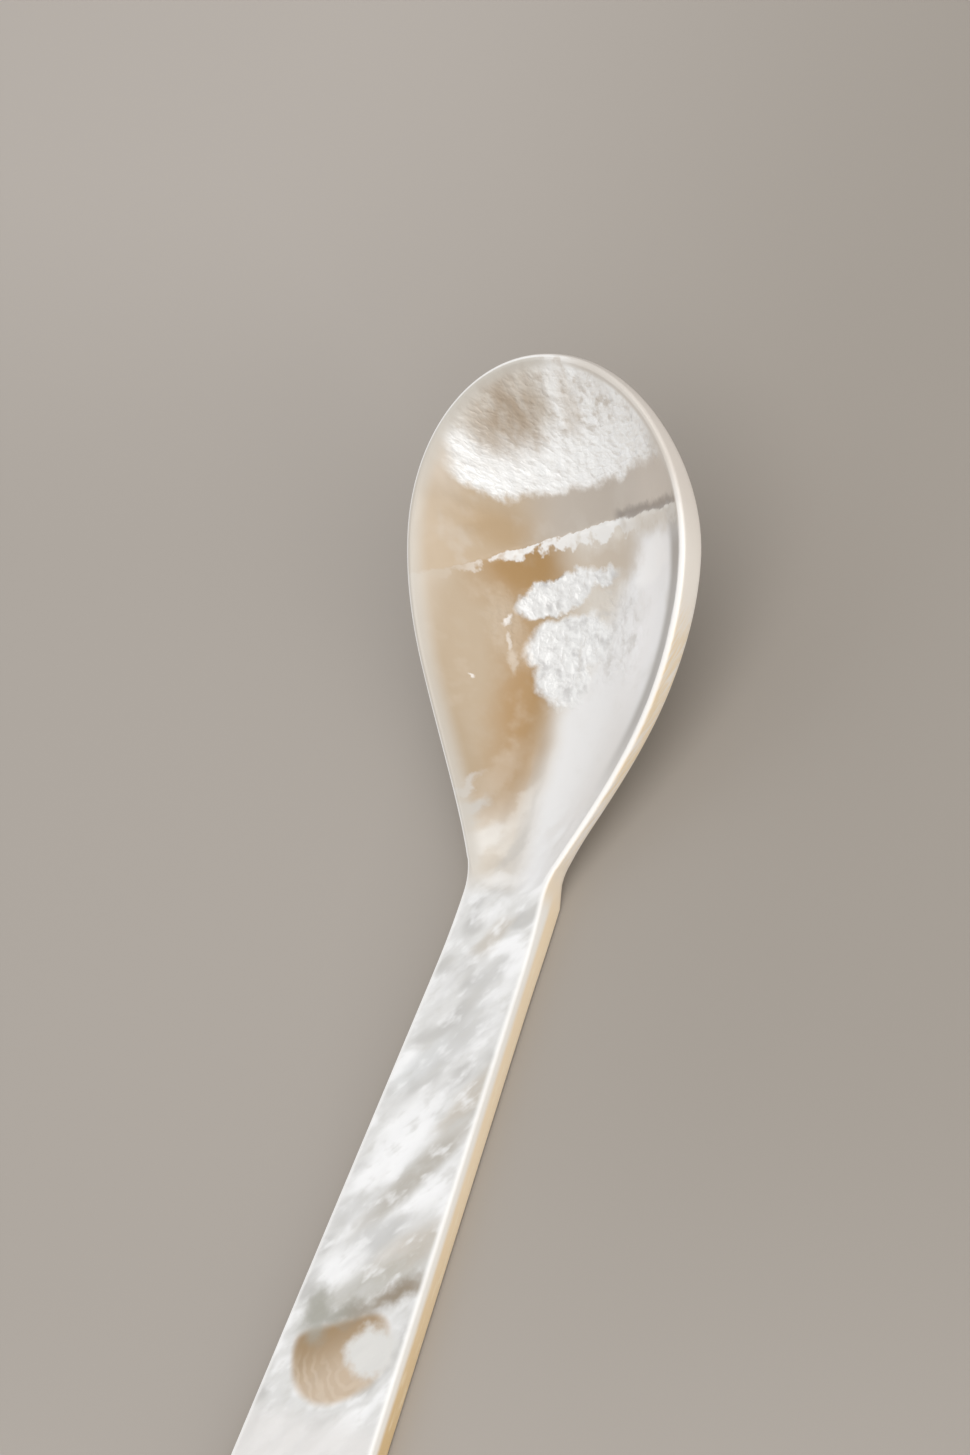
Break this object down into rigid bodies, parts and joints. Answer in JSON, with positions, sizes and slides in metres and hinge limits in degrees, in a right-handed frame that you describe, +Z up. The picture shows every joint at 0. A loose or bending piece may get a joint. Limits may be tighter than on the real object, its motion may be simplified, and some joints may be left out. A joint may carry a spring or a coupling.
{
  "type": "caviar spoon",
  "caption": "One-piece mother-of-pearl caviar spoon: an egg-shaped hollow bowl, bent up from a flat handle that widens to a rounded end.",
  "frame": {"origin": "on the flat underside of the handle, on the centre line, below the neck", "axes": "+Y along the spoon towards the tip of the bowl, +Z up with the handle lying flat, +X to the right of someone who looks along +Y"},
  "size_m": [0.0242, 0.1018, 0.0187],
  "materials": {
    "nacre": "polished mother-of-pearl: silvery waves over warm tan shell"
  },
  "bodies": {
    "root": {"spoon": "nacre"}
  },
  "joints": []
}
